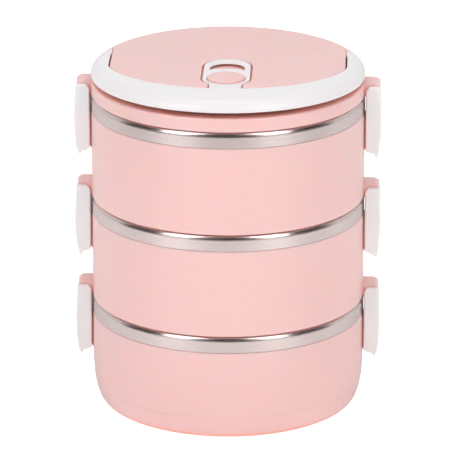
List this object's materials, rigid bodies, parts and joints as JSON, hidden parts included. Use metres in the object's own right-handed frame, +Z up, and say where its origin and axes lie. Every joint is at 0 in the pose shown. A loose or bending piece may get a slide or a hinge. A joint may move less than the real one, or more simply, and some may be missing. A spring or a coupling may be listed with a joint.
{
  "type": "tiffin carrier",
  "caption": "Round stacking lunch carrier: steel bowls in pink plastic shells, held by hinged side latches, with a flush folding handle and a vent plug in the lid.",
  "frame": {"origin": "middle of the flat underside, on the surface that the carrier stands on", "axes": "+Z up along the axis of the stack; the handle lies at the front, towards -Y; the latches stand on the two sides, +X and -X"},
  "size_m": [0.1628, 0.145, 0.1874],
  "materials": {
    "pink_plastic": "satin moulded plastic",
    "white_plastic": "satin moulded plastic",
    "stainless_steel": "polished sheet",
    "steel_pin": "bright wire",
    "silicone": "translucent white silicone"
  },
  "bodies": {
    "base_tier": {"base_shell": "pink_plastic", "base_bowl": "stainless_steel"},
    "middle_tier": {"middle_shell": "pink_plastic", "middle_bowl": "stainless_steel", "middle_seal": "silicone", "middle_latch_pin_left": "steel_pin", "middle_latch_pin_right": "steel_pin"},
    "top_tier": {"top_shell": "pink_plastic", "top_bowl": "stainless_steel", "top_seal": "silicone", "top_latch_pin_left": "steel_pin", "top_latch_pin_right": "steel_pin"},
    "lid": {"lid_cover": "pink_plastic", "lid_inner_plate": "white_plastic", "lid_seal": "silicone", "vent_seal": "silicone", "lid_latch_pin_left": "steel_pin", "lid_latch_pin_right": "steel_pin"},
    "middle_latch_left": {"middle_latch_left": "white_plastic"},
    "middle_latch_right": {"middle_latch_right": "white_plastic"},
    "top_latch_left": {"top_latch_left": "white_plastic"},
    "top_latch_right": {"top_latch_right": "white_plastic"},
    "lid_latch_left": {"lid_latch_left": "white_plastic"},
    "lid_latch_right": {"lid_latch_right": "white_plastic"},
    "handle": {"handle": "white_plastic"},
    "vent_plug": {"vent_plug": "pink_plastic"}
  },
  "joints": [
    {"name": "middle_tier_lift", "type": "slide", "parent": "base_tier", "child": "middle_tier", "axis": [0, 0, 1], "range_m": [0, 0.08]},
    {"name": "top_tier_lift", "type": "slide", "parent": "middle_tier", "child": "top_tier", "axis": [0, 0, 1], "range_m": [0, 0.08]},
    {"name": "lid_lift", "type": "slide", "parent": "top_tier", "child": "lid", "axis": [0, 0, 1], "range_m": [0, 0.08]},
    {"name": "middle_latch_left_swing", "type": "hinge", "parent": "middle_tier", "child": "middle_latch_left", "pos_m": [-0.0768, 0, 0.0599], "axis": [0, 1, 0], "range_deg": [0, 100]},
    {"name": "middle_latch_right_swing", "type": "hinge", "parent": "middle_tier", "child": "middle_latch_right", "pos_m": [0.0768, 0, 0.0599], "axis": [0, -1, 0], "range_deg": [0, 100]},
    {"name": "top_latch_left_swing", "type": "hinge", "parent": "top_tier", "child": "top_latch_left", "pos_m": [-0.0768, 0, 0.1159], "axis": [0, 1, 0], "range_deg": [0, 100]},
    {"name": "top_latch_right_swing", "type": "hinge", "parent": "top_tier", "child": "top_latch_right", "pos_m": [0.0768, 0, 0.1159], "axis": [0, -1, 0], "range_deg": [0, 100]},
    {"name": "lid_latch_left_swing", "type": "hinge", "parent": "lid", "child": "lid_latch_left", "pos_m": [-0.0768, 0, 0.1719], "axis": [0, 1, 0], "range_deg": [0, 100]},
    {"name": "lid_latch_right_swing", "type": "hinge", "parent": "lid", "child": "lid_latch_right", "pos_m": [0.0768, 0, 0.1719], "axis": [0, -1, 0], "range_deg": [0, 100]},
    {"name": "handle_swing", "type": "hinge", "parent": "lid", "child": "handle", "pos_m": [0, 0.0165, 0.1826], "axis": [-1, 0, 0], "range_deg": [0, 80]},
    {"name": "vent_plug_lift", "type": "slide", "parent": "lid", "child": "vent_plug", "axis": [0, 0, 1], "range_m": [0, 0.003]}
  ]
}
